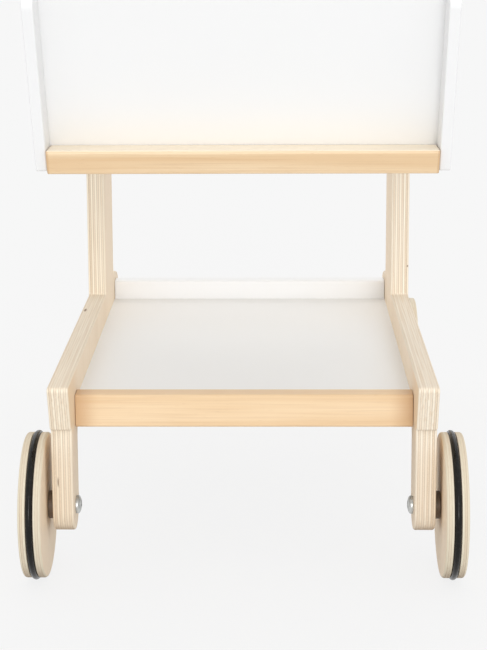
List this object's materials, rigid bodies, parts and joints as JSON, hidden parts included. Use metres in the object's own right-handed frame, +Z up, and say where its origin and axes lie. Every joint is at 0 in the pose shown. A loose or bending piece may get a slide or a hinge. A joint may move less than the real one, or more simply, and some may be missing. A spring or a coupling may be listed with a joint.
{
  "type": "toy shopping cart",
  "caption": "Wooden toy shopping cart with plywood side frames, white upper basket, lower tray, push bar and rolling wheels with rubber rings.",
  "frame": {"origin": "on the ground, midway between the four wheels", "axes": "+Z up, the front of the cart faces -Y, the wheels turn about X"},
  "size_m": [0.3204, 0.5386, 0.5],
  "materials": {
    "birch_ply": "clear satin varnish",
    "natural_wood": "clear satin varnish",
    "white_paint": "white satin paint on board",
    "black_rubber": "smooth moulded rubber",
    "zinc": "bright zinc plate",
    "nylon": "moulded, black"
  },
  "bodies": {
    "frame": {"side_frame_left": "birch_ply", "basket_side_left": "white_paint", "side_frame_right": "birch_ply", "basket_side_right": "white_paint", "tray_floor": "white_paint", "tray_rear_rail": "white_paint", "basket_floor": "white_paint", "basket_front_panel": "white_paint", "basket_rear_panel": "white_paint", "tray_front_rail": "natural_wood", "basket_front_rail": "natural_wood", "handle_bar": "natural_wood", "axle_bolt_front_left": "zinc", "axle_sleeve_front_left": "zinc", "wheel_spacer_front_left": "nylon", "axle_bolt_front_right": "zinc", "axle_sleeve_front_right": "zinc", "wheel_spacer_front_right": "nylon", "axle_bolt_rear_left": "zinc", "axle_sleeve_rear_left": "zinc", "wheel_spacer_rear_left": "nylon", "axle_bolt_rear_right": "zinc", "axle_sleeve_rear_right": "zinc", "wheel_spacer_rear_right": "nylon", "screw_tray_front_left": "zinc", "screw_tray_front_right": "zinc", "screw_tray_rear_left": "zinc", "screw_tray_rear_right": "zinc", "screw_handle_left": "zinc", "screw_handle_right": "zinc", "screw_basket_rail_left": "zinc", "screw_basket_rail_right": "zinc", "screw_wall_low_left": "zinc", "screw_wall_low_right": "zinc", "screw_wall_high_left": "zinc", "screw_wall_high_right": "zinc"},
    "front_left_wheel": {"wheel_front_left": "birch_ply", "tyre_front_left": "black_rubber"},
    "front_right_wheel": {"wheel_front_right": "birch_ply", "tyre_front_right": "black_rubber"},
    "rear_left_wheel": {"wheel_rear_left": "birch_ply", "tyre_rear_left": "black_rubber"},
    "rear_right_wheel": {"wheel_rear_right": "birch_ply", "tyre_rear_right": "black_rubber"}
  },
  "joints": [
    {"name": "front_left_spin", "type": "hinge", "parent": "frame", "child": "front_left_wheel", "pos_m": [-0.1486, -0.216, 0.0533], "axis": [1, 0, 0], "continuous": true},
    {"name": "front_right_spin", "type": "hinge", "parent": "frame", "child": "front_right_wheel", "pos_m": [0.1486, -0.216, 0.0533], "axis": [1, 0, 0], "continuous": true},
    {"name": "rear_left_spin", "type": "hinge", "parent": "frame", "child": "rear_left_wheel", "pos_m": [-0.1486, 0.216, 0.0533], "axis": [1, 0, 0], "continuous": true},
    {"name": "rear_right_spin", "type": "hinge", "parent": "frame", "child": "rear_right_wheel", "pos_m": [0.1486, 0.216, 0.0533], "axis": [1, 0, 0], "continuous": true}
  ]
}
